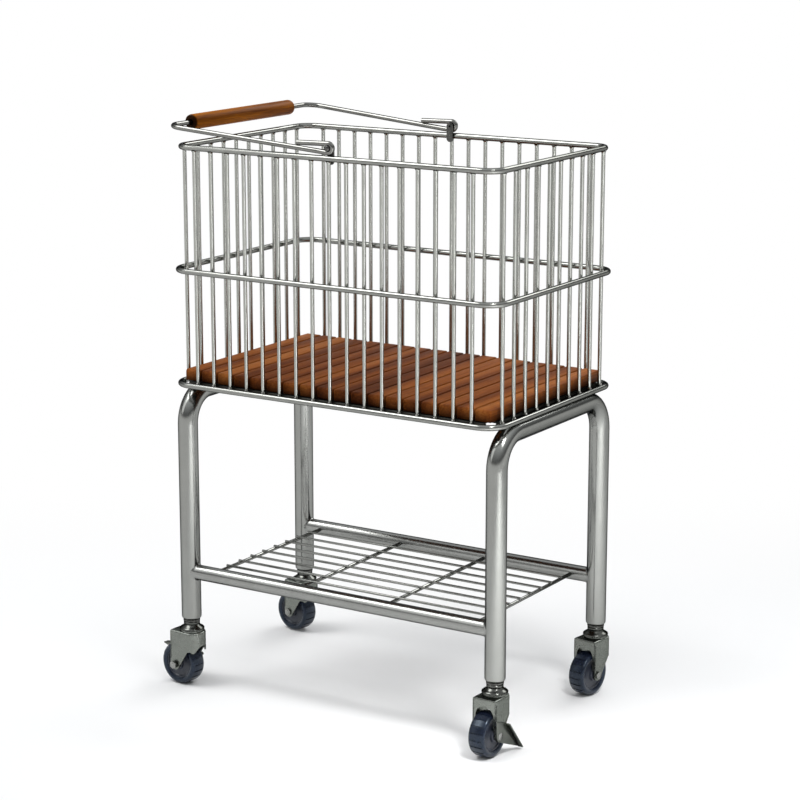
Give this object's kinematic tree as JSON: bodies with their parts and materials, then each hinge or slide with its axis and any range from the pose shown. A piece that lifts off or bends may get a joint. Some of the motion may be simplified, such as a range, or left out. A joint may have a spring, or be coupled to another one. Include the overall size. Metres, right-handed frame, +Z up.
{
  "type": "ball cart",
  "caption": "Wheeled wire basket with a slatted wooden floor, a swinging bail handle and a lower wire shelf, for carrying balls beside a court.",
  "frame": {"origin": "middle of the bounding box, on the floor under the wheels", "axes": "+Z up, X along the long sides with the folded bail handle towards -X, Y across the cart with the braked casters at -Y"},
  "size_m": [0.605, 0.368, 0.824],
  "materials": {
    "wire_steel": "polished stainless steel wire",
    "tube_steel": "satin polished stainless steel tube",
    "slat_wood": "oiled red-brown hardwood",
    "grip_wood": "varnished orange-brown wood",
    "caster_zinc": "dull zinc-plated pressed steel",
    "caster_dark": "dark oiled steel",
    "tyre": "smooth blue-black rubber",
    "hub": "moulded dark plastic"
  },
  "bodies": {
    "cart": {"back_bail_pivot": "wire_steel", "back_left_socket": "caster_dark", "back_left_stem": "caster_dark", "back_pickets": "wire_steel", "back_rail": "tube_steel", "back_right_socket": "caster_dark", "back_right_stem": "caster_dark", "bottom_hoop": "wire_steel", "front_bail_pivot": "wire_steel", "front_left_socket": "caster_dark", "front_left_stem": "caster_dark", "front_pickets": "wire_steel", "front_rail": "tube_steel", "front_right_socket": "caster_dark", "front_right_stem": "caster_dark", "left_leg_frame": "tube_steel", "left_pickets": "wire_steel", "middle_hoop": "wire_steel", "right_leg_frame": "tube_steel", "right_pickets": "wire_steel", "shelf_grid": "wire_steel", "slat_01": "slat_wood", "slat_02": "slat_wood", "slat_03": "slat_wood", "slat_04": "slat_wood", "slat_05": "slat_wood", "slat_06": "slat_wood", "slat_07": "slat_wood", "slat_08": "slat_wood", "slat_09": "slat_wood", "slat_10": "slat_wood", "slat_11": "slat_wood", "slat_12": "slat_wood", "slat_13": "slat_wood", "slat_14": "slat_wood", "slat_15": "slat_wood", "slat_16": "slat_wood", "slat_17": "slat_wood", "slat_18": "slat_wood", "top_rim": "wire_steel"},
    "bail": {"bail_wire": "wire_steel"},
    "grip": {"bail_grip": "grip_wood"},
    "front_left_swivel": {"front_left_fork": "caster_zinc", "front_left_axle": "caster_zinc"},
    "front_left_wheel": {"front_left_hub": "hub", "front_left_tyre": "tyre"},
    "front_left_brake": {"front_left_brake_lever": "caster_zinc"},
    "front_right_swivel": {"front_right_fork": "caster_zinc", "front_right_axle": "caster_zinc"},
    "front_right_wheel": {"front_right_hub": "hub", "front_right_tyre": "tyre"},
    "front_right_brake": {"front_right_brake_lever": "caster_zinc"},
    "back_left_swivel": {"back_left_fork": "caster_zinc", "back_left_axle": "caster_zinc"},
    "back_left_wheel": {"back_left_hub": "hub", "back_left_tyre": "tyre"},
    "back_right_swivel": {"back_right_fork": "caster_zinc", "back_right_axle": "caster_zinc"},
    "back_right_wheel": {"back_right_hub": "hub", "back_right_tyre": "tyre"}
  },
  "joints": [
    {"name": "bail_swing", "type": "hinge", "parent": "cart", "child": "bail", "pos_m": [0.02187, 0.00912, 0.7975], "axis": [0, 1, 0], "range_deg": [0, 175]},
    {"name": "grip_spin", "type": "hinge", "parent": "bail", "child": "grip", "pos_m": [-0.23413, 0.00912, 0.8136], "axis": [0, 1, 0], "continuous": true},
    {"name": "front_left_swivel_turn", "type": "hinge", "parent": "cart", "child": "front_left_swivel", "pos_m": [-0.23088, -0.13488, 0.084], "axis": [0, 0, 1], "continuous": true},
    {"name": "front_left_wheel_spin", "type": "hinge", "parent": "front_left_swivel", "child": "front_left_wheel", "pos_m": [-0.24881, -0.13331, 0.0315], "axis": [0.0872, 0.9962, 0], "continuous": true},
    {"name": "front_left_brake_press", "type": "hinge", "parent": "front_left_swivel", "child": "front_left_brake", "pos_m": [-0.24881, -0.13331, 0.0315], "axis": [0.0872, 0.9962, 0], "range_deg": [-43, 0]},
    {"name": "front_right_swivel_turn", "type": "hinge", "parent": "cart", "child": "front_right_swivel", "pos_m": [0.27462, -0.13488, 0.084], "axis": [0, 0, 1], "continuous": true},
    {"name": "front_right_wheel_spin", "type": "hinge", "parent": "front_right_swivel", "child": "front_right_wheel", "pos_m": [0.27399, -0.15287, 0.0315], "axis": [-0.9994, 0.0349, 0], "continuous": true},
    {"name": "front_right_brake_press", "type": "hinge", "parent": "front_right_swivel", "child": "front_right_brake", "pos_m": [0.27399, -0.15287, 0.0315], "axis": [-0.9994, 0.0349, 0], "range_deg": [-43, 0]},
    {"name": "back_left_swivel_turn", "type": "hinge", "parent": "cart", "child": "back_left_swivel", "pos_m": [-0.23088, 0.15312, 0.084], "axis": [0, 0, 1], "continuous": true},
    {"name": "back_left_wheel_spin", "type": "hinge", "parent": "back_left_swivel", "child": "back_left_wheel", "pos_m": [-0.2486, 0.15624, 0.0315], "axis": [0.1736, 0.9848, 0], "continuous": true},
    {"name": "back_right_swivel_turn", "type": "hinge", "parent": "cart", "child": "back_right_swivel", "pos_m": [0.27462, 0.15312, 0.084], "axis": [0, 0, 1], "continuous": true},
    {"name": "back_right_wheel_spin", "type": "hinge", "parent": "back_right_swivel", "child": "back_right_wheel", "pos_m": [0.27212, 0.13529, 0.0315], "axis": [-0.9903, 0.1392, 0], "continuous": true}
  ]
}
